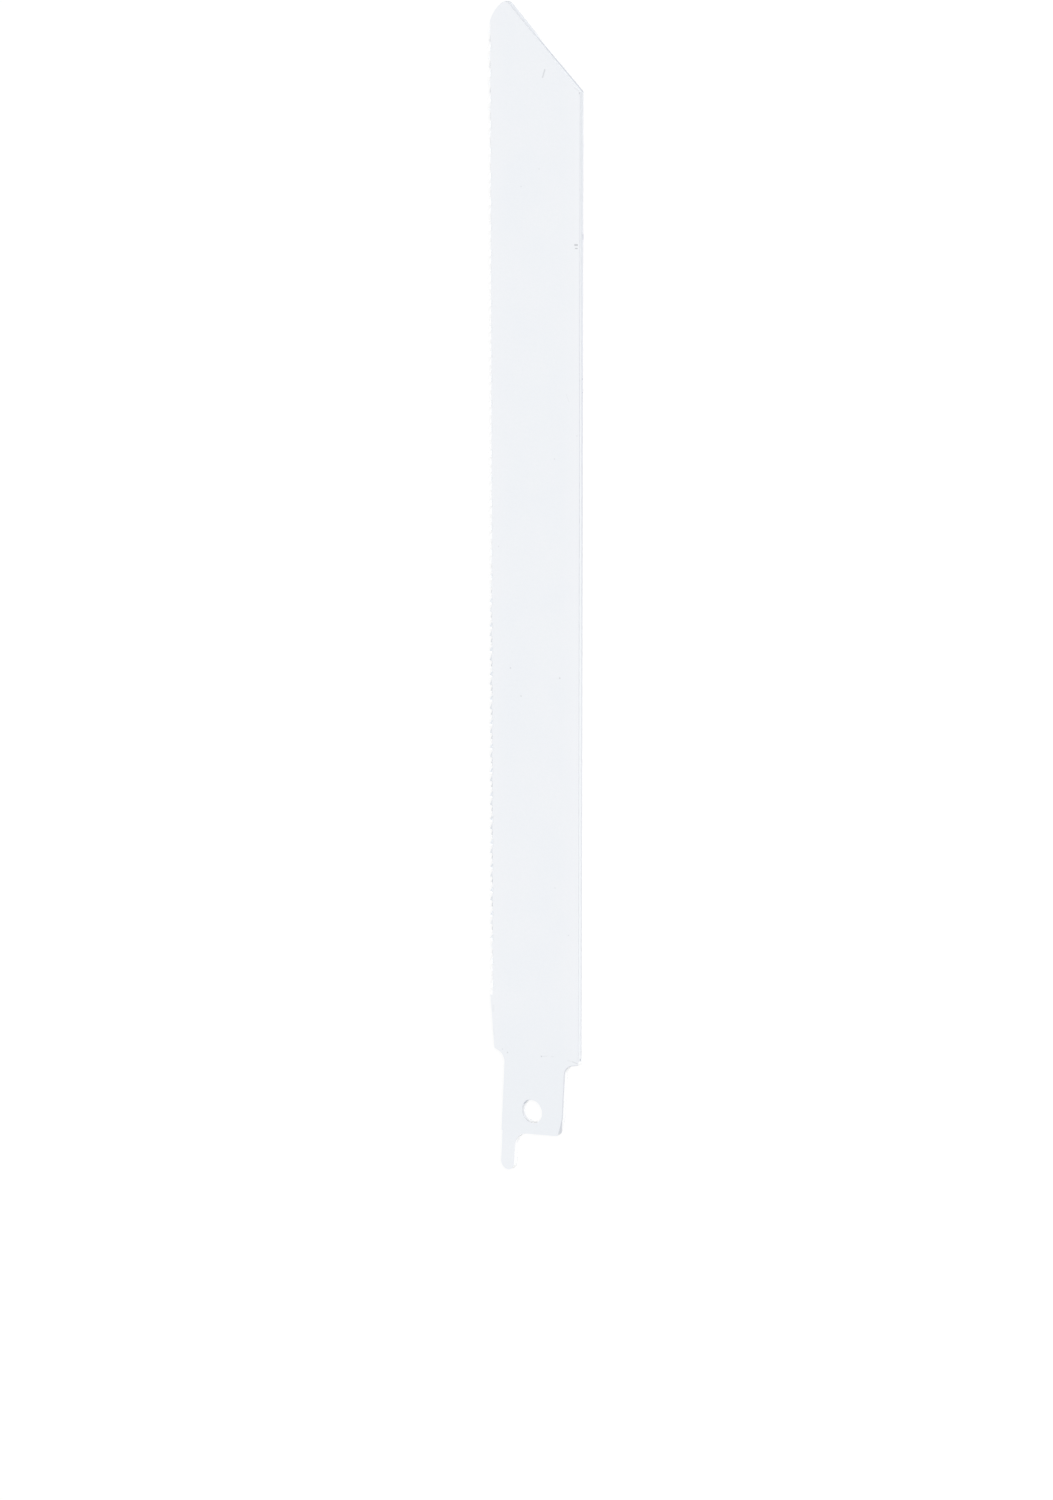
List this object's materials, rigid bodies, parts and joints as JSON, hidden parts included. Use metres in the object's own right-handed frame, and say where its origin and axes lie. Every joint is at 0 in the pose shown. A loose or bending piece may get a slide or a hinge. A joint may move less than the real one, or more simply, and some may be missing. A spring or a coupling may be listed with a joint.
{
  "type": "reciprocating saw blade",
  "caption": "Straight fine-toothed metal-cutting blade for a reciprocating saw, with a slanted nose and a stamped shank that has a pin hole and a narrow tang.",
  "frame": {"origin": "middle of the blade's length and width, on the plane of the lowest tooth tips, with the blade lying flat", "axes": "+Y along the blade from the tang to the nose, -X the way the teeth point, +Z out of the plain side, up"},
  "size_m": [0.0186, 0.2, 0.0014],
  "materials": {
    "lacquered_steel": "matte white lacquer over the whole strip, shank and teeth"
  },
  "bodies": {
    "root": {"blade": "lacquered_steel"}
  },
  "joints": []
}
